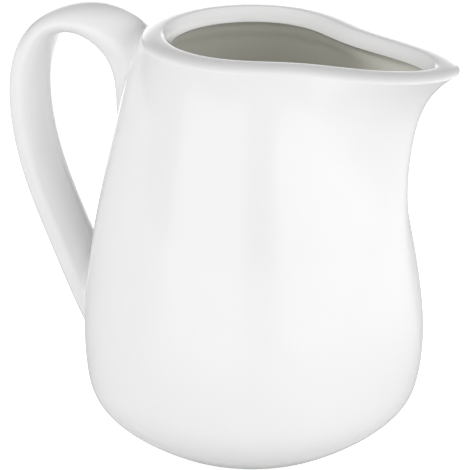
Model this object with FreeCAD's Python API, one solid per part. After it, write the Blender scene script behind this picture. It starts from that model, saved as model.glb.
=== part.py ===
"""A porcelain milk jug: a round body with a pinched pouring spout, a rolled lip and a strap handle.

Millimetres, +Z up.  The origin is on the body's axis at the underside of the foot, the spout points to +X and the
handle to -X.  The jug is one casting, so the model is one solid.
"""
import FreeCAD, Part
import math
import os

# Body
height = 103.2            # table to the crest of the lip
foot_radius = 24.0
belly_radius = 41.0
lip_radius = 27.0         # axis to the outer edge of the lip, on its round side
wall = 4.0
floor_height = 5.5        # table to the inside floor
floor_flat_radius = 16.0
floor_bend_radius = 20.0  # where the inside floor starts to turn up
floor_bend_height = 6.5   # table to the foot of the plain inner wall
foot_land = 3.0           # width of the ring that the jug stands on
foot_recess = 1.2         # depth of the hollow inside that ring
foot_rounding = 0.5

# Spout
spout_reach = 25.7        # how far the tip stands out past the round lip
spout_dip = 2.2           # how far the tip lies under the crest
spout_spread = 26.8       # half width of the spout at the lip, degrees round the axis
dip_spread = 41.0         # half width of the dip, degrees
dip_power = 8             # the dip dies away down the wall by this power of the share of the height

# Lip: an outer and an inner quarter ellipse that meet at the crest
lip_outer_run = 5.0
lip_outer_drop = 1.9
lip_inner_run = 2.3
lip_inner_drop = 3.5
throat_depth = 4.7        # from the narrowest ring, under the lip, down to the plain wall

# Handle: an oval strap
handle_reach = 60.2       # axis of the body to the strap's middle line at its furthest
handle_width = 14.4
handle_thickness = 9.4    # at the grip
upper_root_height = 66.0
lower_root_height = 12.5
upper_root_sink = 11.5    # the middle line starts this far inside the body's outline
lower_root_sink = 6.3     # and ends this far inside it
root_rounding = 2.0       # where the strap runs into the wall

# Wall stations, foot to belly: share of the height, share of the way out, share of the spout's reach
LOWER_WALL = ((0.0, 0.0, 0.0), (0.03, 0.32, 0.0), (0.09, 0.765, 0.01), (0.18, 0.97, 0.054), (0.30, 1.0, 0.086))
# Belly to lip: share of the height, share of the way in, share of the spout's reach
UPPER_WALL = ((0.45, 0.103, 0.079), (0.62, 0.315, 0.133), (0.80, 0.616, 0.355), (0.93, 0.857, 0.715))
# Half width of the spout's ridge as a share of its width at the lip, for the same stations
RIDGE_WIDTHS = (0.75, 0.75, 0.75, 0.75, 0.75, 0.68, 0.49, 0.81, 0.98)

# Handle stations between the roots: share of the way from the wall at that height to the reach, share of the height
HANDLE_PATH = ((-0.236, 0.776), (0.158, 0.937), (0.488, 0.978), (0.782, 0.957), (0.955, 0.876), (1.0, 0.773),
               (0.895, 0.626), (0.41, 0.406), (-0.006, 0.255))
# Share of the grip's thickness, upper root to lower root, at even steps of the path
HANDLE_SWELL = (2.13, 2.1, 1.64, 1.19, 0.72, 0.87, 0.98, 1.01, 1.03, 1.04, 1.05, 1.0, 0.94)

points_round = 48
tip_crowding = 1.35       # over 1 crowds a ring's points towards the spout
wall_rings = 26
lip_rings = 6
strap_rings = 30
strap_points = 16
core_lift = 15.0          # how far the solid that trims the strap stands over the lip
core_caps = 3


def wall_law():
    """The outer wall from foot to lip as a curve whose parameter is the height: (radius, ridge, ridge width)."""
    heights = []
    values = []
    girths = [foot_radius + share * (belly_radius - foot_radius) for _, share, _ in LOWER_WALL]
    girths += [belly_radius - share * (belly_radius - lip_radius) for _, share, _ in UPPER_WALL]
    for girth, (level, _, ridge), width in zip(girths, LOWER_WALL + UPPER_WALL, RIDGE_WIDTHS):
        heights.append(level * height)
        values.append(FreeCAD.Vector(girth, ridge * spout_reach, width * spout_spread))
    heights.append(height - lip_outer_drop)
    values.append(FreeCAD.Vector(lip_radius, spout_reach, spout_spread))
    law = Part.BSplineCurve()
    law.interpolate(Points=values, Parameters=heights)
    return law


WALL = wall_law()
edge_height = height - lip_outer_drop


def bump(angle, spread):
    """1 at the spout, dying away to either side over spread degrees."""
    return math.exp(-(math.degrees(angle) / spread) ** 2)


def ring_angles():
    """Angles once round the axis, closer together at the spout; the first is on the jug's flank."""
    steps = [2.0 * k / points_round - 1.0 for k in range(points_round)]
    angles = [math.copysign(math.pi * abs(step) ** tip_crowding, step) for step in steps]
    flank = points_round // 4
    return angles[flank:] + angles[:flank]


def ring(at, level, inset, keep_thickness=False):
    """A ring of the skin at this level: the wall's outline at height `at`, moved in by inset.

    With keep_thickness the inset is measured square to the leaning wall.
    """
    outline = WALL.value(at)
    slope = WALL.getDN(at, 1)
    points = []
    for angle in ring_angles():
        rise = bump(angle, outline.z)
        reach = outline.x + outline.y * rise
        turn = -2.0 * outline.y * rise * math.degrees(angle) * math.degrees(1.0) / outline.z ** 2
        length = math.hypot(reach, turn)
        lean = (slope.x + slope.y * rise) * reach / length if keep_thickness else 0.0
        step = inset * math.hypot(1.0, lean) / length
        x = reach * math.cos(angle) - step * (reach * math.cos(angle) + turn * math.sin(angle))
        y = reach * math.sin(angle) - step * (reach * math.sin(angle) - turn * math.cos(angle))
        dip = spout_dip * (level / height) ** dip_power * bump(angle, dip_spread)
        points.append(FreeCAD.Vector(x, y, level - dip))
    return points


def eased(start, end, count):
    """count + 1 values from start to end, closer together towards both ends."""
    return [start + (end - start) * (1.0 - math.cos(math.pi * k / count)) / 2.0 for k in range(count + 1)]


def outer_rings():
    return [ring(level, level, 0.0) for level in eased(0.0, edge_height, wall_rings)]


def lip_skin():
    """Rings over the lip, from just past its outer edge to the narrowest ring of the throat."""
    rings = []
    for k in range(1, lip_rings + 1):
        turn = math.radians(90.0 * k / lip_rings)
        inset = lip_outer_run * (1.0 - math.cos(turn))
        rings.append(ring(edge_height, edge_height + lip_outer_drop * math.sin(turn), inset))
    for k in range(1, lip_rings + 1):
        turn = math.radians(90.0 * k / lip_rings)
        inset = lip_outer_run + lip_inner_run * math.sin(turn)
        rings.append(ring(edge_height, height - lip_inner_drop * (1.0 - math.cos(turn)), inset))
    return rings


def round_ring(radius, level):
    return [FreeCAD.Vector(radius * math.cos(a), radius * math.sin(a), level) for a in ring_angles()]


def inner_rings():
    top = height - lip_inner_drop - throat_depth
    levels = eased(top, floor_bend_height, wall_rings)
    rings = [ring(level, level, wall, keep_thickness=True) for level in levels]
    return rings + [round_ring(floor_bend_radius, floor_height), round_ring(floor_flat_radius, floor_height)]


def skin(*bands):
    """A smooth solid through the closed rings of points in the bands, with a flat face over each end.

    The poles stand off the rings by a sixth of the second difference, which brings the surface back to them.  The
    surface is cut into one face for each band.
    """
    rings = [points for band in bands for points in band]
    rows = len(rings)
    columns = len(rings[0])
    poles = [list(row) for row in rings]
    for i in range(rows):
        for j in range(columns):
            here = rings[i][j]
            off = rings[i][j - 1] + rings[i][(j + 1) % columns] - here * 2.0
            if 1 < i < rows - 2:
                off += rings[i - 1][j] + rings[i + 1][j] - here * 2.0
            poles[i][j] = here - off / 6.0
    surface = Part.BSplineSurface()
    surface.buildFromPolesMultsKnots(poles, [4] + [1] * (rows - 4) + [4], [1] * (columns + 1),
                                     list(range(rows - 2)), list(range(columns + 1)), False, True, 3, 3)
    cuts = [0]
    for band in bands[:-1]:
        cuts.append(cuts[-1] + len(band))
    cuts.append(rows - 3)
    faces = []
    for start, end in zip(cuts, cuts[1:]):
        piece = surface.copy()
        piece.segment(start, end, 0, columns)
        faces.append(piece.toShape())
    for end in (cuts[0], cuts[-1]):
        faces.append(Part.Face(Part.Wire([surface.uIso(end).toShape()])))
    shell = Part.makeShell(faces)
    shell.sewShape()
    solid = Part.makeSolid(shell)
    if solid.Volume < 0.0:
        solid.reverse()
    return solid


def core():
    """The body's inside out to the middle of the wall, and the air over it: what the handle stops short of."""
    levels = eased(0.5 * floor_height, edge_height, wall_rings)
    rings = [round_ring(floor_flat_radius, levels[0])]
    rings += [ring(level, level, 0.5 * wall, keep_thickness=True) for level in levels[1:]]
    for k in range(1, core_caps + 1):
        rings.append(round_ring(lip_radius - 0.5 * wall, height + core_lift * k / core_caps))
    return skin(rings)


def strap_law():
    """The strap's middle line seen from the side, as a curve whose parameter runs from 0 at the upper root to 1."""
    upper = FreeCAD.Vector(upper_root_sink - WALL.value(upper_root_height).x, 0.0, upper_root_height)
    lower = FreeCAD.Vector(lower_root_sink - WALL.value(lower_root_height).x, 0.0, lower_root_height)
    points = [upper]
    for out, up in HANDLE_PATH:
        girth = WALL.value(up * height).x
        points.append(FreeCAD.Vector(-girth - out * (handle_reach - girth), 0.0, up * height))
    points.append(lower)
    travelled = [0.0]
    for last, here in zip(points, points[1:]):
        travelled.append(travelled[-1] + (here - last).Length)
    law = Part.BSplineCurve()
    law.interpolate(Points=points, Parameters=[far / travelled[-1] for far in travelled])
    return law


def swell_law():
    """The strap's thickness at each share of its length, as a share of the thickness at the grip."""
    law = Part.BSplineCurve()
    law.interpolate(Points=[FreeCAD.Vector(share, 0.0, 0.0) for share in HANDLE_SWELL],
                    Parameters=[k / (len(HANDLE_SWELL) - 1) for k in range(len(HANDLE_SWELL))])
    return law


def strap():
    path = strap_law()
    swell = swell_law()
    sideways = FreeCAD.Vector(0.0, 0.5 * handle_width, 0.0)
    turns = [2.0 * math.pi * j / strap_points for j in range(strap_points)]
    rings = []
    for k in range(strap_rings + 1):
        at = k / strap_rings
        across = path.tangent(at)[0].cross(FreeCAD.Vector(0.0, 0.5 * handle_thickness * swell.value(at).x, 0.0))
        rings.append([path.value(at) + across * math.cos(turn) + sideways * math.sin(turn) for turn in turns])
    return skin(rings)


def foot_hollow():
    """The shallow dish under the jug, inside the ring that it stands on."""
    rim = foot_radius - foot_land
    dish = Part.makeCone(rim, rim - foot_recess, foot_recess)
    return dish.makeFillet(foot_rounding, [edge for edge in dish.Edges if edge.BoundBox.ZMin > 0.5 * foot_recess])


def joint_edges(jug):
    """The two closed edges where the strap runs into the wall."""
    roots = []
    for edge in jug.Edges:
        box = edge.BoundBox
        if box.XMax < 0.0 and box.YLength > 0.5 * handle_width:
            roots.append(edge)
    return roots


def jug():
    body = skin(outer_rings(), lip_skin(), inner_rings())
    handle = strap().cut(core())
    joined = body.fuse(handle).Solids[0]
    hollowed = joined.cut(foot_hollow()).Solids[0]
    return hollowed.makeFillet(root_rounding, joint_edges(hollowed))


os.makedirs("parts", exist_ok=True)
jug().exportStep("parts/jug.step")
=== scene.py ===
"""A white porcelain milk jug: a pinched and thrown body with a rolled lip, and an oval strap handle.

Sizes are millimetres until the mesh is made, +Z is up, and the spout points to +X.
"""

import math

import bpy
import numpy as np
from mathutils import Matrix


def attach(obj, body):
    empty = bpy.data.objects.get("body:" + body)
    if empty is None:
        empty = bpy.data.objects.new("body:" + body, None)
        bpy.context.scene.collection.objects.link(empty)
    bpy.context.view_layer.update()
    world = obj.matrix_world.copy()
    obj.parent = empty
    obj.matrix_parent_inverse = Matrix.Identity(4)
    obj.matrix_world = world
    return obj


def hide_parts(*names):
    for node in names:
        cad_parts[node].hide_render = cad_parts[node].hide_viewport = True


MM = 0.001

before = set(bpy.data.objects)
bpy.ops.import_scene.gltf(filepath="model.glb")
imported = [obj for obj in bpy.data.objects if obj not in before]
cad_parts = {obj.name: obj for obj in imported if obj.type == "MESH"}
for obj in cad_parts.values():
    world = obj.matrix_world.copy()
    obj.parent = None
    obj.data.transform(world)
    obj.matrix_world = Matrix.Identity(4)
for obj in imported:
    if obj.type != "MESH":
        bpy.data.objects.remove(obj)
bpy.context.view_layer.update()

# ---------------------------------------------------------------- sizes

HEIGHT = 103.2                # table to the crest of the lip
FOOT_RADIUS = 24.0
BELLY_RADIUS = 40.99
LIP_RADIUS = 27.0             # axis to the outer edge of the lip, on its round side
WALL = 4.0
FLOOR_HEIGHT = 5.5
FLOOR_FLAT_RADIUS = 16.0
FLOOR_BEND_HEIGHT = 6.5
FLOOR_BEND_POWER = 4          # how late the floor turns up into the wall
FOOT_LAND = 3.0               # width of the ring that the jug stands on
FOOT_RECESS = 1.2
FLAT_FROM_RING = 1.9          # how far in from the ring the hollow is flat, in depths of the hollow
FOOT_BEND = 45.0              # degrees, the slope between that hollow and the ring
FOOT_ROUNDING = 0.4

SPOUT_REACH = 25.7            # how far the tip stands out past the round lip
SPOUT_DIP = 2.2
SPOUT_SPREAD = 26.8           # degrees round the axis
DIP_SPREAD = 41.0
DIP_POWER = 8.0

LIP_OUTER_RUN = 5.0
LIP_OUTER_DROP = 1.9
LIP_INNER_RUN = 2.3
LIP_INNER_DROP = 3.5
LIP_OUTER_POWER = 2.2         # 2 rounds the lip like an ellipse, more squares it off, less bevels it
LIP_INNER_POWER = 1.6
THROAT_STEP = (0.6, 2.2)      # share of the thicker lip that ends right under it, and the depth there
THROAT_BLEND = 6.0            # depth over which the inside takes up the shape of the wall
THROAT_DEPTH = 14.0           # depth over which the wall thins
EDGE_HEIGHT = HEIGHT - LIP_OUTER_DROP

HANDLE_REACH = 60.2
HANDLE_WIDTH = 14.4
HANDLE_THICKNESS = 9.38
UPPER_ROOT = (66.0, 11.5)     # height, and how far inside the wall the middle line starts
LOWER_ROOT = (12.5, 6.3)
ROOT_FLARE = 3.3
ROOT_SINK = 0.2               # how far under the wall's surface the flare ends
ROOT_DEPTH = 2.0              # how far the strap reaches into the wall

# Wall stations: share of the height, radius, share of the spout's reach, spread of the spout's ridge.
# The first ones give the radius as a share of the way out from foot to belly, the rest as a share of
# the way in from belly to lip.
WALL_STATIONS = (
    (0.0, 0.0, 0.0, 0.75), (0.03, 0.32, 0.0, 0.75), (0.09, 0.765, 0.01, 0.75),
    (0.18, 0.97, 0.054, 0.75), (0.30, 1.0, 0.086, 0.75), (0.45, 0.103, 0.079, 0.68),
    (0.62, 0.315, 0.133, 0.49), (0.80, 0.616, 0.355, 0.81), (0.93, 0.857, 0.715, 0.98))
LOWER_STATIONS = 5

# Handle stations: share of the way from the wall to the reach, share of the height
HANDLE_STATIONS = (
    (-0.236, 0.776), (0.158, 0.937), (0.488, 0.978), (0.782, 0.957), (0.955, 0.876), (1.0, 0.773),
    (0.895, 0.626), (0.41, 0.406), (-0.006, 0.255))
HANDLE_SWELL = (2.13, 2.1, 1.64, 1.19, 0.72, 0.87, 0.98, 1.01, 1.03, 1.04, 1.05, 1.0, 0.94)

# How finely the mesh is divided
BODY_COLUMNS = 176
TIP_CROWDING = 1.35           # over 1 brings the columns closer together at the spout
UNDERSIDE_RINGS = (0.0, 6.0, 12.0, 17.0)
OUTER_ROWS = 84
LIP_ROWS = 16
THROAT_ROWS = 14
THROAT_CROWDING = 2.2         # over 1 brings the rows closer together under the lip
INNER_ROWS = 40
FLOOR_BEND_ROWS = 8
FLOOR_RINGS = (11.0, 6.0, 0.0)
STRAP_ROWS = 260
STRAP_POINTS = 72
ROOT_CROWDING = 0.7           # how much closer together the strap's rows are at its roots
MERGE_DISTANCE = 0.002


# ---------------------------------------------------------------- rules worked out before the mesh

def smooth_law(places, values):
    """A smooth curve through the values at their places: a function that gives value and slope."""
    x = np.array(places, float)
    y = np.array(values, float)
    last = len(x) - 1
    gap = np.diff(x)
    climb = np.diff(y, axis=0) / gap[:, None]
    system = np.zeros((last + 1, last + 1))
    target = np.zeros_like(y)
    for end, near in ((0, slice(0, 4)), (last, slice(last - 3, last + 1))):
        system[end, end] = 1.0
        for c in range(y.shape[1]):
            target[end, c] = np.polyval(np.polyder(np.polyfit(x[near], y[near, c], 3)), x[end])
    for i in range(1, last):
        system[i, i - 1:i + 2] = (gap[i], 2.0 * (gap[i - 1] + gap[i]), gap[i - 1])
        target[i] = 3.0 * (gap[i] * climb[i - 1] + gap[i - 1] * climb[i])
    slopes = np.linalg.solve(system, target)

    def law(at):
        i = min(max(int(np.searchsorted(x, at)) - 1, 0), last - 1)
        h = gap[i]
        t = (at - x[i]) / h
        drift = y[i + 1] - y[i]
        a = slopes[i] * h - drift
        b = drift - slopes[i + 1] * h
        value = y[i] + t * drift + t * (1.0 - t) * (a * (1.0 - t) + b * t)
        slope = (drift + (1.0 - 2.0 * t) * (a * (1.0 - t) + b * t) + t * (1.0 - t) * (b - a)) / h
        return value, slope

    return law


def wall_law():
    """The outer wall as (radius, ridge, ridge spread in radians) at each height."""
    heights = []
    values = []
    for k, (share, girth, ridge, spread) in enumerate(WALL_STATIONS):
        if k < LOWER_STATIONS:
            radius = FOOT_RADIUS + girth * (BELLY_RADIUS - FOOT_RADIUS)
        else:
            radius = BELLY_RADIUS - girth * (BELLY_RADIUS - LIP_RADIUS)
        heights.append(share * HEIGHT)
        values.append((radius, ridge * SPOUT_REACH, math.radians(spread * SPOUT_SPREAD)))
    heights.append(EDGE_HEIGHT)
    values.append((LIP_RADIUS, SPOUT_REACH, math.radians(SPOUT_SPREAD)))
    return smooth_law(heights, values)


outer_wall = wall_law()


def eased(start, end, count):
    """count + 1 values from start to end, closer together towards both ends."""
    return [start + (end - start) * (1.0 - math.cos(math.pi * k / count)) / 2.0
            for k in range(count + 1)]


def smooth(share):
    """A share from 0 to 1 that starts and ends gently."""
    return share * share * (3.0 - 2.0 * share)


def bent_quarter(share, power):
    """How far along and how far up a quarter of a superellipse is, at this share of its turn."""
    turn = 0.5 * math.pi * share
    return 1.0 - max(math.cos(turn), 0.0) ** (2.0 / power), math.sin(turn) ** (2.0 / power)


def station(at, level, inset, leaning=0.0, outside=0.0, hollow=0.0):
    """One ring of the body: the wall's outline at height `at`, moved in by inset and placed at level."""
    value, slope = outer_wall(at)
    return {"outline": value, "place": (level, inset, outside),
            "lean": (slope[0] * leaning, slope[1] * leaning, hollow)}


def round_station(radius, level, hollow=0.0):
    """One plain round ring of the body."""
    return {"outline": (radius, 0.0, 1.0), "place": (level, 0.0, 0.0), "lean": (0.0, 0.0, hollow)}


def foot_rounding(share):
    """How far back and how far up a point of a rounding of the foot is, at this share of its turn."""
    bend = math.radians(FOOT_BEND * share)
    back = math.tan(0.5 * math.radians(FOOT_BEND)) - math.sin(bend)
    return FOOT_ROUNDING * back, FOOT_ROUNDING * (1.0 - math.cos(bend))


def underside_stations():
    """From the middle of the hollow under the jug out to the edge of the foot."""
    rim = FOOT_RADIUS - FOOT_LAND
    flat = UNDERSIDE_RINGS + (rim - FLAT_FROM_RING * FOOT_RECESS,)
    rings = [round_station(radius, FOOT_RECESS) for radius in flat]
    for share in (0.0, 0.5, 1.0):
        back, up = foot_rounding(share)
        rings.append(round_station(rim - FOOT_RECESS - back, FOOT_RECESS - up))
    for share in (1.0, 0.5, 0.0):
        back, up = foot_rounding(share)
        rings.append(round_station(rim + back, up))
    rings.append(round_station(rim + 0.5 * FOOT_LAND, 0.0))
    rings.append(round_station(FOOT_RADIUS - FOOT_ROUNDING, 0.0))
    return rings


def lip_stations():
    """Over the lip, from its outer edge to its crest and down to its inner edge."""
    rings = []
    for k in range(LIP_ROWS + 1):
        along, up = bent_quarter(k / LIP_ROWS, LIP_OUTER_POWER)
        rings.append(station(EDGE_HEIGHT, EDGE_HEIGHT + LIP_OUTER_DROP * up, LIP_OUTER_RUN * along,
                             outside=1.0))
    for k in range(1, LIP_ROWS + 1):
        down, along = bent_quarter(k / LIP_ROWS, LIP_INNER_POWER)
        rings.append(station(EDGE_HEIGHT, HEIGHT - LIP_INNER_DROP * down,
                             LIP_OUTER_RUN + LIP_INNER_RUN * along))
    return rings


def throat_stations():
    """Under the lip, where the wall thins: a short step first, then slowly."""
    rings = []
    extra = LIP_OUTER_RUN + LIP_INNER_RUN - WALL
    step_share, step_depth = THROAT_STEP
    for k in range(1, THROAT_ROWS + 1):
        depth = THROAT_DEPTH * (k / THROAT_ROWS) ** THROAT_CROWDING
        thinned = (step_share * (1.0 - max(1.0 - depth / step_depth, 0.0) ** 2)
                   + (1.0 - step_share) * smooth(depth / THROAT_DEPTH))
        taken = smooth(min(depth / THROAT_BLEND, 1.0))
        level = HEIGHT - LIP_INNER_DROP - depth
        rings.append(station(level + (1.0 - taken) * (EDGE_HEIGHT - level), level,
                             WALL + extra * (1.0 - thinned), leaning=thinned, hollow=1.0))
    return rings


def floor_stations():
    """From the foot of the inner wall in to the middle of the floor."""
    value, slope = outer_wall(FLOOR_BEND_HEIGHT)
    bend = value[0] - WALL * math.hypot(1.0, slope[0])
    drop = FLOOR_BEND_HEIGHT - FLOOR_HEIGHT
    rings = []
    for k in range(1, FLOOR_BEND_ROWS + 1):
        left = 1.0 - k / FLOOR_BEND_ROWS
        rings.append(round_station(FLOOR_FLAT_RADIUS + (bend - FLOOR_FLAT_RADIUS) * left,
                                   FLOOR_HEIGHT + drop * left ** FLOOR_BEND_POWER, hollow=1.0))
    return rings + [round_station(radius, FLOOR_HEIGHT, hollow=1.0) for radius in FLOOR_RINGS]


def body_stations():
    """Every ring of the body, from the middle of the underside over the lip to the floor's middle."""
    outer = [station(level, level, 0.0, outside=1.0)
             for level in eased(0.0, EDGE_HEIGHT, OUTER_ROWS)[:-1]]
    top = HEIGHT - LIP_INNER_DROP - THROAT_DEPTH
    inner = [station(level, level, WALL, leaning=1.0, hollow=1.0)
             for level in eased(top, FLOOR_BEND_HEIGHT, INNER_ROWS)[1:]]
    return (underside_stations() + outer + lip_stations() + throat_stations() + inner
            + floor_stations())


def stations_mesh(name, stations):
    """A line of points, one for each station, that carries the stations' numbers as attributes."""
    mesh = bpy.data.meshes.new(name)
    mesh.from_pydata([(0.0, 0.0, k * MM) for k in range(len(stations))],
                     [(k, k + 1) for k in range(len(stations) - 1)], [])
    for key in stations[0]:
        layer = mesh.attributes.new(key, "FLOAT_VECTOR", "POINT")
        layer.data.foreach_set("vector", [float(c) for one in stations for c in one[key]])
    return mesh


def strap_stations():
    """The strap's middle line and half thickness at each row, from the upper root to the lower one."""
    points = [(UPPER_ROOT[1] - outer_wall(UPPER_ROOT[0])[0][0], 0.0, UPPER_ROOT[0])]
    for out, up in HANDLE_STATIONS:
        girth = outer_wall(up * HEIGHT)[0][0]
        points.append((-girth - out * (HANDLE_REACH - girth), 0.0, up * HEIGHT))
    points.append((LOWER_ROOT[1] - outer_wall(LOWER_ROOT[0])[0][0], 0.0, LOWER_ROOT[0]))
    points = np.array(points)
    travelled = np.concatenate(([0.0], np.cumsum(np.linalg.norm(np.diff(points, axis=0), axis=1))))
    line = smooth_law(travelled / travelled[-1], points)
    swell = smooth_law(np.linspace(0.0, 1.0, len(HANDLE_SWELL)), np.array(HANDLE_SWELL)[:, None])
    rows = []
    for k in range(STRAP_ROWS + 1):
        share = k / STRAP_ROWS
        share -= ROOT_CROWDING * math.sin(2.0 * math.pi * share) / (2.0 * math.pi)
        middle, along = line(share)
        half = 0.5 * HANDLE_THICKNESS * swell(share)[0][0]
        across = np.array((along[2], 0.0, -along[0])) / np.linalg.norm(along) * half
        rows.append({"middle": middle, "across": across})
    first, last = dict(rows[0]), dict(rows[-1])
    first["across"] = last["across"] = (0.0, 0.0, 0.0)
    return [first] + rows + [last]


# ---------------------------------------------------------------- node trees, written as sums

def pick(sockets, name):
    """The socket in use with this name or number."""
    if isinstance(name, int):
        return sockets[name]
    return next(s for s in sockets if s.name == name and s.enabled)


def add_node(tree, kind, inputs=None, **settings):
    """A new node with these inputs, linked or set, and these settings."""
    node = tree.nodes.new(kind)
    node.location = (180.0 * (len(tree.nodes) // 8), -220.0 * (len(tree.nodes) % 8))
    for name, value in settings.items():
        setattr(node, name, value)
    for name, value in (inputs or {}).items():
        socket = pick(node.inputs, name)
        value = getattr(value, "socket", value)
        if isinstance(value, bpy.types.NodeSocket):
            tree.links.new(value, socket)
        else:
            socket.default_value = value
    return node


def math_node(tree, operation, *values):
    node = add_node(tree, "ShaderNodeMath", dict(enumerate(values)), operation=operation)
    return Number(tree, node.outputs[0])


class Number:
    """A number in a node tree; Python's signs join such numbers with Math nodes."""

    def __init__(self, tree, socket):
        self.tree = tree
        self.socket = socket

    def made(self, operation, *others):
        return math_node(self.tree, operation, self, *others)

    def __add__(self, other):
        return self.made("ADD", other)

    def __sub__(self, other):
        return self.made("SUBTRACT", other)

    def __rsub__(self, other):
        return math_node(self.tree, "SUBTRACT", other, self)

    def __mul__(self, other):
        return self.made("MULTIPLY", other)

    def __truediv__(self, other):
        return self.made("DIVIDE", other)

    def __pow__(self, other):
        return self.made("POWER", other)

    def __neg__(self):
        return self.made("MULTIPLY", -1.0)


def new_tree(name, inputs):
    """An empty Geometry Nodes group that takes a Geometry and the named inputs, and gives a Geometry."""
    tree = bpy.data.node_groups.new(name, "GeometryNodeTree")
    tree.interface.new_socket("Geometry", in_out="INPUT", socket_type="NodeSocketGeometry")
    for label, kind, value in inputs:
        socket = tree.interface.new_socket(label, in_out="INPUT", socket_type=kind)
        if value is not None:
            socket.default_value = value
    tree.interface.new_socket("Geometry", in_out="OUTPUT", socket_type="NodeSocketGeometry")
    return tree, tree.nodes.new("NodeGroupInput")


def numbers(tree, source):
    """A group's own inputs, by name."""
    return {s.name: Number(tree, s) for s in source.outputs if s.name}


def grid_on_stations(tree, stations, columns):
    """A grid with one row for each station: the grid, and each point's row and column."""
    count = add_node(tree, "GeometryNodeAttributeDomainSize", {"Geometry": stations}, component="MESH")
    rows = count.outputs["Point Count"]
    around = columns + 1.0
    grid = add_node(tree, "GeometryNodeMeshGrid", {"Vertices X": rows, "Vertices Y": around})
    index = Number(tree, add_node(tree, "GeometryNodeInputIndex").outputs[0])
    row = (index / around).made("FLOOR")
    return grid.outputs["Mesh"], row, index - row * around


def named(tree, name, data_type="FLOAT"):
    """The attribute with this name."""
    node = add_node(tree, "GeometryNodeInputNamedAttribute", {"Name": name}, data_type=data_type)
    return pick(node.outputs, "Attribute")


def held(tree, stations, name, row):
    """The three numbers that a station holds under this name, for each point's own row."""
    found = add_node(tree, "GeometryNodeSampleIndex",
                     {"Geometry": stations, "Value": named(tree, name, "FLOAT_VECTOR"), "Index": row},
                     data_type="FLOAT_VECTOR", domain="POINT")
    return pick(found.outputs, "Value")


def parts_of(tree, vector):
    split = add_node(tree, "ShaderNodeSeparateXYZ", {0: vector})
    return [Number(tree, split.outputs[k]) for k in range(3)]


def join_xyz(tree, x, y, z):
    return add_node(tree, "ShaderNodeCombineXYZ", {0: x, 1: y, 2: z}).outputs[0]


def vectors(tree, operation, *values):
    node = add_node(tree, "ShaderNodeVectorMath", dict(enumerate(values)), operation=operation)
    return node.outputs["Value"] if operation in ("DOT_PRODUCT", "LENGTH") else node.outputs["Vector"]


def scaled(tree, vector, factor):
    node = add_node(tree, "ShaderNodeVectorMath", {0: vector, "Scale": factor}, operation="SCALE")
    return node.outputs["Vector"]


def stored(tree, mesh, name, value, data_type="FLOAT"):
    """The mesh with this value kept on its points."""
    inputs = {"Geometry": mesh, "Name": name, "Value": value}
    node = add_node(tree, "GeometryNodeStoreNamedAttribute", inputs, data_type=data_type,
                    domain="POINT")
    return node.outputs[0]


def moved(tree, mesh, position):
    node = add_node(tree, "GeometryNodeSetPosition", {"Geometry": mesh, "Position": position})
    return node.outputs[0]


def finish_skin(tree, mesh, position):
    """Puts the grid's points in place, joins its seam and poles and turns its faces outwards."""
    joined = add_node(tree, "GeometryNodeMergeByDistance",
                      {"Geometry": moved(tree, mesh, position), "Distance": MERGE_DISTANCE * MM})
    return add_node(tree, "GeometryNodeFlipFaces", {"Mesh": joined.outputs[0]}).outputs[0]


def pinched_body_tree():
    """Rings round the axis by one rule: a circle, the spout's ridge and dip, and the wall's inset."""
    tree, source = new_tree("pinched body", (
        ("Columns", "NodeSocketFloat", float(BODY_COLUMNS)),
        ("Tip Crowding", "NodeSocketFloat", TIP_CROWDING),
        ("Height", "NodeSocketFloat", HEIGHT),
        ("Spout Dip", "NodeSocketFloat", SPOUT_DIP),
        ("Dip Spread", "NodeSocketFloat", math.radians(DIP_SPREAD)),
        ("Dip Power", "NodeSocketFloat", DIP_POWER)))
    given = numbers(tree, source)
    stations = source.outputs["Geometry"]
    grid, row, column = grid_on_stations(tree, stations, given["Columns"])
    radius, ridge, spread = parts_of(tree, held(tree, stations, "outline", row))
    level, inset, outside = parts_of(tree, held(tree, stations, "place", row))
    lean_radius, lean_ridge, hollow = parts_of(tree, held(tree, stations, "lean", row))

    step = column / given["Columns"] * 2.0 - 1.0
    angle = step.made("SIGN") * (step.made("ABSOLUTE") ** given["Tip Crowding"]) * math.pi
    rise = (-((angle / spread) ** 2.0)).made("EXPONENT")
    reach = radius + ridge * rise
    turn = ridge * rise * angle * -2.0 / (spread * spread)
    length = (reach * reach + turn * turn).made("SQRT").made("MAXIMUM", MM)
    lean = (lean_radius + lean_ridge * rise) * reach / length
    move = inset * (lean * lean + 1.0).made("SQRT") / length
    cosine = angle.made("COSINE")
    sine = angle.made("SINE")
    x = reach * cosine - move * (reach * cosine + turn * sine)
    y = reach * sine - move * (reach * sine - turn * cosine)
    fall = given["Spout Dip"] * (level / given["Height"]) ** given["Dip Power"]
    z = level - fall * (-((angle / given["Dip Spread"]) ** 2.0)).made("EXPONENT")

    kept = stored(tree, stored(tree, grid, "outside", outside), "hollow", hollow)
    body = finish_skin(tree, kept, scaled(tree, join_xyz(tree, x, y, z), MM))
    tree.links.new(body, tree.nodes.new("NodeGroupOutput").inputs["Geometry"])
    return tree


def height_over(tree, wall, position):
    """How far a point is over the wall, less than 0 inside it, and which way the wall faces there."""
    near = add_node(tree, "GeometryNodeProximity", {"Geometry": wall, "Sample Position": position},
                    target_element="FACES")
    normal = add_node(tree, "GeometryNodeInputNormal").outputs[0]
    facing = add_node(tree, "GeometryNodeSampleNearestSurface",
                      {"Mesh": wall, "Value": normal, "Sample Position": position},
                      data_type="FLOAT_VECTOR")
    outwards = pick(facing.outputs, "Value")
    offset = vectors(tree, "SUBTRACT", position, near.outputs["Position"])
    return Number(tree, vectors(tree, "DOT_PRODUCT", offset, outwards)) / MM, outwards


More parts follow.
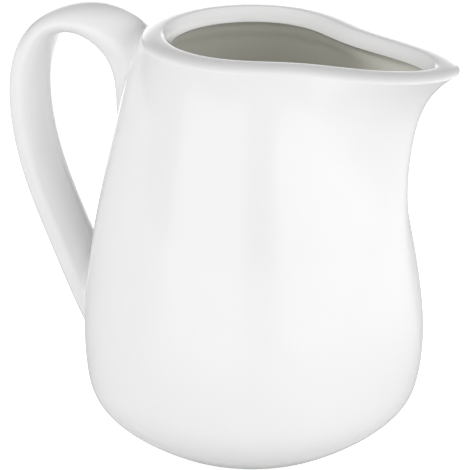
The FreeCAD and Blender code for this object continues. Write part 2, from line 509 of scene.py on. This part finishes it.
def oval_strap_tree():
    """Ovals along the middle line that flare out where they meet the wall and stop inside it."""
    tree, source = new_tree("oval strap", (
        ("Wall", "NodeSocketGeometry", None),
        ("Points", "NodeSocketFloat", float(STRAP_POINTS)),
        ("Width", "NodeSocketFloat", HANDLE_WIDTH),
        ("Root Flare", "NodeSocketFloat", ROOT_FLARE),
        ("Root Sink", "NodeSocketFloat", ROOT_SINK),
        ("Root Depth", "NodeSocketFloat", ROOT_DEPTH)))
    given = numbers(tree, source)
    stations = source.outputs["Geometry"]
    grid, row, column = grid_on_stations(tree, stations, given["Points"])
    middle = held(tree, stations, "middle", row)
    across = held(tree, stations, "across", row)
    open_end = Number(tree, vectors(tree, "LENGTH", across)).made("GREATER_THAN", MM)
    turn = column / given["Points"] * (2.0 * math.pi)
    sideways = join_xyz(tree, 0.0, given["Width"] * open_end * 0.5, 0.0)
    out = vectors(tree, "ADD", scaled(tree, across, turn.made("COSINE")),
                  scaled(tree, sideways, turn.made("SINE")))
    plain = scaled(tree, vectors(tree, "ADD", middle, out), MM)

    wall = source.outputs["Wall"]
    above, outwards = height_over(tree, wall, plain)

    flare = given["Root Flare"]
    short = flare - (above + given["Root Sink"]).made("MAXIMUM", 0.0).made("MINIMUM", flare)
    spread = flare - (flare * flare - short * short).made("MAXIMUM", 0.0).made("SQRT")
    facing_out = vectors(tree, "NORMALIZE", out)
    square = Number(tree, vectors(tree, "DOT_PRODUCT", facing_out, outwards))
    along_wall = vectors(tree, "SUBTRACT", facing_out, scaled(tree, outwards, square))
    flared = vectors(tree, "ADD", plain, scaled(tree, along_wall, spread * open_end * MM))
    over, upwards = height_over(tree, wall, flared)
    lift = above.made("MAXIMUM", -given["Root Depth"]) - over
    trimmed = vectors(tree, "ADD", flared, scaled(tree, upwards, lift * MM))
    joined = finish_skin(tree, stored(tree, grid, "trimmed", trimmed, "FLOAT_VECTOR"), plain)
    strap = moved(tree, joined, named(tree, "trimmed", "FLOAT_VECTOR"))
    tree.links.new(strap, tree.nodes.new("NodeGroupOutput").inputs["Geometry"])
    return tree


def milk_jug_tree(body_tree, strap_tree, glaze):
    """Body and strap as one skin."""
    tree, source = new_tree("milk jug", (("Strap", "NodeSocketObject", None),
                                         ("Root Flare", "NodeSocketFloat", ROOT_FLARE)))
    body = add_node(tree, "GeometryNodeGroup", {}, node_tree=body_tree)
    tree.links.new(source.outputs["Geometry"], body.inputs["Geometry"])
    chosen = Number(tree, named(tree, "outside")).made("GREATER_THAN", 0.5)
    rounded = add_node(tree, "GeometryNodeSetShadeSmooth",
                       {"Geometry": body.outputs[0], "Shade Smooth": True})
    wall = add_node(tree, "GeometryNodeSeparateGeometry",
                    {"Geometry": rounded.outputs[0], "Selection": chosen}, domain="POINT")
    line = add_node(tree, "GeometryNodeObjectInfo", {"Object": source.outputs["Strap"]})
    strap = add_node(tree, "GeometryNodeGroup", {}, node_tree=strap_tree)
    tree.links.new(line.outputs["Geometry"], strap.inputs["Geometry"])
    tree.links.new(wall.outputs["Selection"], strap.inputs["Wall"])
    tree.links.new(source.outputs["Root Flare"], strap.inputs["Root Flare"])
    whole = add_node(tree, "GeometryNodeJoinGeometry")
    tree.links.new(strap.outputs[0], whole.inputs[0])
    tree.links.new(body.outputs[0], whole.inputs[0])
    even = add_node(tree, "GeometryNodeSetShadeSmooth",
                    {"Geometry": whole.outputs[0], "Shade Smooth": True})
    real = add_node(tree, "GeometryNodeRealizeInstances", {"Geometry": even.outputs[0]})
    glazed = add_node(tree, "GeometryNodeSetMaterial", {"Geometry": real.outputs[0], "Material": glaze})
    tree.links.new(glazed.outputs[0], tree.nodes.new("NodeGroupOutput").inputs["Geometry"])
    return tree


def link_object(name, data):
    thing = bpy.data.objects.new(name, data)
    bpy.context.scene.collection.objects.link(thing)
    return thing


def set_input(modifier, label, value):
    """Sets a modifier's input by its socket's identifier."""
    socket = next(s for s in modifier.node_group.interface.items_tree
                  if s.name == label and s.in_out == "INPUT")
    modifier[socket.identifier] = value


def make_jug(glaze):
    """The finished mesh: both lines of stations are read by the node trees and then removed."""
    strap_line = link_object("strap line", stations_mesh("strap line", strap_stations()))
    raw = link_object("jug stations", stations_mesh("jug stations", body_stations()))
    modifier = raw.modifiers.new("milk jug", "NODES")
    modifier.node_group = milk_jug_tree(pinched_body_tree(), oval_strap_tree(), glaze)
    set_input(modifier, "Strap", strap_line)
    set_input(modifier, "Root Flare", ROOT_FLARE)
    bpy.context.view_layer.update()
    seen = raw.evaluated_get(bpy.context.evaluated_depsgraph_get())
    mesh = bpy.data.meshes.new_from_object(seen)
    mesh.name = "milk_jug"
    for name in ("outside", "trimmed"):
        mesh.attributes.remove(mesh.attributes[name])
    bpy.data.objects.remove(raw)
    bpy.data.objects.remove(strap_line)
    return link_object("milk_jug", mesh)


# ---------------------------------------------------------------- studio numbers

MIDDLE = (-4.181, 51.595)     # what the camera looks at: how far to its right of the axis, and how high
CAMERA_TURN = 24.966          # degrees about +Z
CAMERA_RISE = 20.219
CAMERA_DISTANCE = 1.0         # metres, as is the clipping distance
CLIP_END = 20.0
LENS = 314.81
SENSOR_WIDTH = 36.0

# Soft light round the jug: turn from the camera and rise, in degrees, and strength
ROOM_GLOWS = (
    (45.0, 0.0, 3.4), (90.0, 0.0, 1.7), (135.0, 0.0, 0.6), (180.0, 0.0, 1.0),
    (-135.0, 0.0, 0.7), (-90.0, 0.0, 2.1), (-45.0, 0.0, 2.5), (0.0, 90.0, 0.32))
GLOW_TIGHTNESS = 6.0

# What the glaze mirrors, in the world and on the table: white panels from one turn to another, the
# rises between which they fade out at the top, and strength
PANELS = (
    (-66.0, -8.0, 14.0, 18.0, 0.75), (15.0, 118.0, 14.0, 18.0, 0.85),
    (162.0, 198.0, 6.0, 26.0, 1.6))
PANEL_SOFTNESS = 5.0          # degrees over which a panel fades sideways
MIRRORED_LEVEL = 0.15         # what the glaze mirrors beside the panels

TABLE_RADIUS = 3.0            # metres
TABLE_CORNERS = 64
TABLE_COLOUR = (0.82, 0.82, 0.82, 1.0)
TABLE_ROUGHNESS = 0.9
TABLE_PANELS = (60.0, 260.0)  # how far from the axis the panels begin to show in the table, and fully do
TABLE_MIRRORED = 0.6
TABLE_GLOW = 0.75
WHITE = (1.0, 1.0, 1.0, 1.0)

GLAZE_COLOURS = ((0.3, (0.885, 0.88, 0.88, 1.0)), (0.7, (0.90, 0.90, 0.90, 1.0)))
# The inside's own tint, yellow-green and a little lighter than the outer glaze, is painted shade colour.
# It stands in for the olive cast that shade and inner reflections give the inside of the jug.
INSIDE_SHADE_TINT = (0.905, 0.895, 0.82, 1.0)
BARE_COLOUR = (0.74, 0.71, 0.66, 1.0)
BARE_HEIGHTS = (0.25, 0.45)   # between these heights the glaze begins
GLAZED_ROUGHNESS = 0.30
BARE_ROUGHNESS = 0.35         # how much rougher the bare ring is
COAT_ROUGHNESS = 0.05
IOR = 1.5
CLOUD_SCALE = 28.0
RIPPLE_SCALE = 55.0
RIPPLE_HEIGHT = 0.12          # share of the relief
GRIT_SCALE = 2600.0
GRIT_HEIGHT = 0.03
RELIEF = 0.4


# ---------------------------------------------------------------- materials

def new_material(name):
    material = bpy.data.materials.new(name)
    material.use_nodes = True
    material.node_tree.nodes.clear()
    return material, material.node_tree


def place_xyz(tree):
    """Where a point is on the piece, in metres."""
    return add_node(tree, "ShaderNodeTexCoord").outputs["Object"]


def from_axis(x, y):
    return (x * x + y * y).made("SQRT")


def mixed(tree, factor, first, second):
    """From the first colour at 0 to the second at 1."""
    node = add_node(tree, "ShaderNodeMix", {"Factor": factor, "A": first, "B": second}, data_type="RGBA")
    return node.outputs[2]


def glazed_porcelain():
    """White porcelain under a clear, not quite even glaze, and bare on the ring it stands on."""
    material, tree = new_material("glazed porcelain")
    here = place_xyz(tree)
    x, y, z = parts_of(tree, here)

    cloud = add_node(tree, "ShaderNodeTexNoise",
                     {"Vector": here, "Scale": CLOUD_SCALE, "Detail": 3.0, "Roughness": 0.5})
    tone = add_node(tree, "ShaderNodeValToRGB", {"Fac": cloud.outputs[0]})
    for element, (position, colour) in zip(tone.color_ramp.elements, GLAZE_COLOURS):
        element.position = position
        element.color = colour

    bare_below = add_node(tree, "ShaderNodeMapRange", {
        "Value": z, "From Min": BARE_HEIGHTS[0] * MM, "From Max": BARE_HEIGHTS[1] * MM,
        "To Min": 1.0, "To Max": 0.0}, clamp=True).outputs[0]
    on_ring = from_axis(x, y).made("GREATER_THAN", (FOOT_RADIUS - FOOT_LAND - FOOT_ROUNDING) * MM)
    bare = Number(tree, bare_below) * on_ring
    hollow = add_node(tree, "ShaderNodeAttribute", attribute_name="hollow").outputs["Fac"]
    # The inside of the jug takes the painted shade tint in place of the glaze's own colour.
    glazed = mixed(tree, hollow, tone.outputs[0], INSIDE_SHADE_TINT)

    ripple = add_node(tree, "ShaderNodeTexNoise",
                      {"Vector": here, "Scale": RIPPLE_SCALE, "Detail": 1.0, "Roughness": 0.4})
    grit = add_node(tree, "ShaderNodeTexNoise", {"Vector": here, "Scale": GRIT_SCALE, "Detail": 2.0})
    relief = (Number(tree, ripple.outputs[0]) * RIPPLE_HEIGHT
              + Number(tree, grit.outputs[0]) * bare * GRIT_HEIGHT)
    bump = add_node(tree, "ShaderNodeBump", {"Height": relief, "Strength": 1.0, "Distance": RELIEF * MM})

    shader = add_node(tree, "ShaderNodeBsdfPrincipled", {
        "Base Color": mixed(tree, bare, glazed, BARE_COLOUR),
        "Roughness": bare * BARE_ROUGHNESS + GLAZED_ROUGHNESS, "IOR": IOR,
        "Coat Weight": 1.0 - bare, "Coat Roughness": COAT_ROUGHNESS, "Coat IOR": IOR,
        "Normal": bump.outputs[0]})
    add_node(tree, "ShaderNodeOutputMaterial", {"Surface": shader.outputs[0]})
    return material


def smooth_step(tree, value, start, end):
    """0 up to the start and 1 from the end on, both in degrees and the value in radians."""
    step = add_node(tree, "ShaderNodeMapRange", {
        "Value": value, "From Min": math.radians(start), "From Max": math.radians(end)},
        interpolation_type="SMOOTHSTEP")
    return Number(tree, step.outputs[0])


def summed(values):
    return sum(values[1:], values[0])


def mirrored_level(tree, x, y, rise=None, shown=1.0):
    """How bright the room looks in the glaze in the direction of x and y."""
    a = math.radians(CAMERA_TURN)
    turn = (x * math.cos(a) + y * math.sin(a)).made("ARCTAN2", x * math.sin(a) - y * math.cos(a))
    behind = (turn + 2.0 * math.pi).made("MODULO", 2.0 * math.pi)
    levels = []
    for start, end, low, high, strength in PANELS:
        along = behind if end > 180.0 else turn
        panel = (smooth_step(tree, along, start, start + PANEL_SOFTNESS)
                 - smooth_step(tree, along, end, end + PANEL_SOFTNESS))
        if rise is not None:
            panel = panel * (1.0 - smooth_step(tree, rise, low, high))
        levels.append(panel * strength)
    return summed(levels) * shown + MIRRORED_LEVEL


def white_table():
    """A pale matt surface that fades to white for the eye and keeps the shadow that falls on it."""
    material, tree = new_material("white table")
    shader = add_node(tree, "ShaderNodeBsdfPrincipled", {
        "Base Color": TABLE_COLOUR, "Roughness": TABLE_ROUGHNESS, "Specular IOR Level": 0.0})
    path = add_node(tree, "ShaderNodeLightPath")
    to_camera = Number(tree, path.outputs["Is Camera Ray"])
    to_glaze = Number(tree, path.outputs["Is Glossy Ray"])
    x, y, _ = parts_of(tree, place_xyz(tree))
    near, far = TABLE_PANELS
    shown = (from_axis(x, y) / MM - near) / (far - near)
    room = mirrored_level(tree, x, y, shown=shown.made("MAXIMUM", 0.0).made("MINIMUM", 1.0))
    strength = to_camera * TABLE_GLOW + to_glaze * room * TABLE_MIRRORED
    glow = add_node(tree, "ShaderNodeEmission", {"Color": WHITE, "Strength": strength})
    both = add_node(tree, "ShaderNodeAddShader", {0: shader.outputs[0], 1: glow.outputs[0]})
    add_node(tree, "ShaderNodeOutputMaterial", {"Surface": both.outputs[0]})
    return material


# ---------------------------------------------------------------- studio

def heading(turn, rise):
    """The unit vector away from the jug at this turn about +Z and this rise, in degrees."""
    a, e = math.radians(turn), math.radians(rise)
    return (math.sin(a) * math.cos(e), -math.cos(a) * math.cos(e), math.sin(e))


def add_camera():
    data = bpy.data.cameras.new("camera")
    data.lens = LENS
    data.sensor_width = SENSOR_WIDTH
    data.clip_end = CLIP_END
    camera = link_object("camera", data)
    turn = math.radians(CAMERA_TURN)
    right, up = (part * MM for part in MIDDLE)
    centre = (right * math.cos(turn), right * math.sin(turn), up)
    away = heading(CAMERA_TURN, CAMERA_RISE)
    camera.location = [c + CAMERA_DISTANCE * h for c, h in zip(centre, away)]
    camera.rotation_euler = (math.radians(90.0 - CAMERA_RISE), 0.0, turn)
    bpy.context.scene.camera = camera


def glow_level(tree, towards):
    """How much light comes from this direction, most from round each of the glows."""
    levels = []
    for turn, rise, strength in ROOM_GLOWS:
        facing = vectors(tree, "DOT_PRODUCT", towards, heading(CAMERA_TURN + turn, rise))
        levels.append(((Number(tree, facing) - 1.0) * GLOW_TIGHTNESS).made("EXPONENT") * strength)
    return summed(levels)


def add_world():
    """White to the camera, panels on dark grey in the glaze, and soft glows for the light itself."""
    world = bpy.data.worlds.new("studio")
    world.use_nodes = True
    tree = world.node_tree
    tree.nodes.clear()
    path = add_node(tree, "ShaderNodeLightPath")
    to_camera = Number(tree, path.outputs["Is Camera Ray"])
    to_glaze = Number(tree, path.outputs["Is Glossy Ray"])
    towards = add_node(tree, "ShaderNodeTexCoord").outputs["Generated"]
    x, y, z = parts_of(tree, towards)
    room = (to_glaze * mirrored_level(tree, x, y, z.made("ARCSINE"))
            + (1.0 - to_glaze) * glow_level(tree, towards))
    strength = to_camera + (1.0 - to_camera) * room
    background = add_node(tree, "ShaderNodeBackground", {"Color": WHITE, "Strength": strength})
    add_node(tree, "ShaderNodeOutputWorld", {"Surface": background.outputs[0]})
    bpy.context.scene.world = world


def add_table():
    mesh = bpy.data.meshes.new("table")
    turns = [2.0 * math.pi * k / TABLE_CORNERS for k in range(TABLE_CORNERS)]
    rim = [(TABLE_RADIUS * math.cos(turn), TABLE_RADIUS * math.sin(turn), 0.0) for turn in turns]
    mesh.from_pydata(rim, [], [tuple(range(TABLE_CORNERS))])
    mesh.materials.append(white_table())
    link_object("table", mesh)


# ---------------------------------------------------------------- the scene

scene = bpy.context.scene
scene.view_settings.view_transform = "Standard"
scene.cycles.use_denoising = True

jug = make_jug(glazed_porcelain())
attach(jug, "root")
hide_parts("jug")

add_camera()
add_world()
add_table()
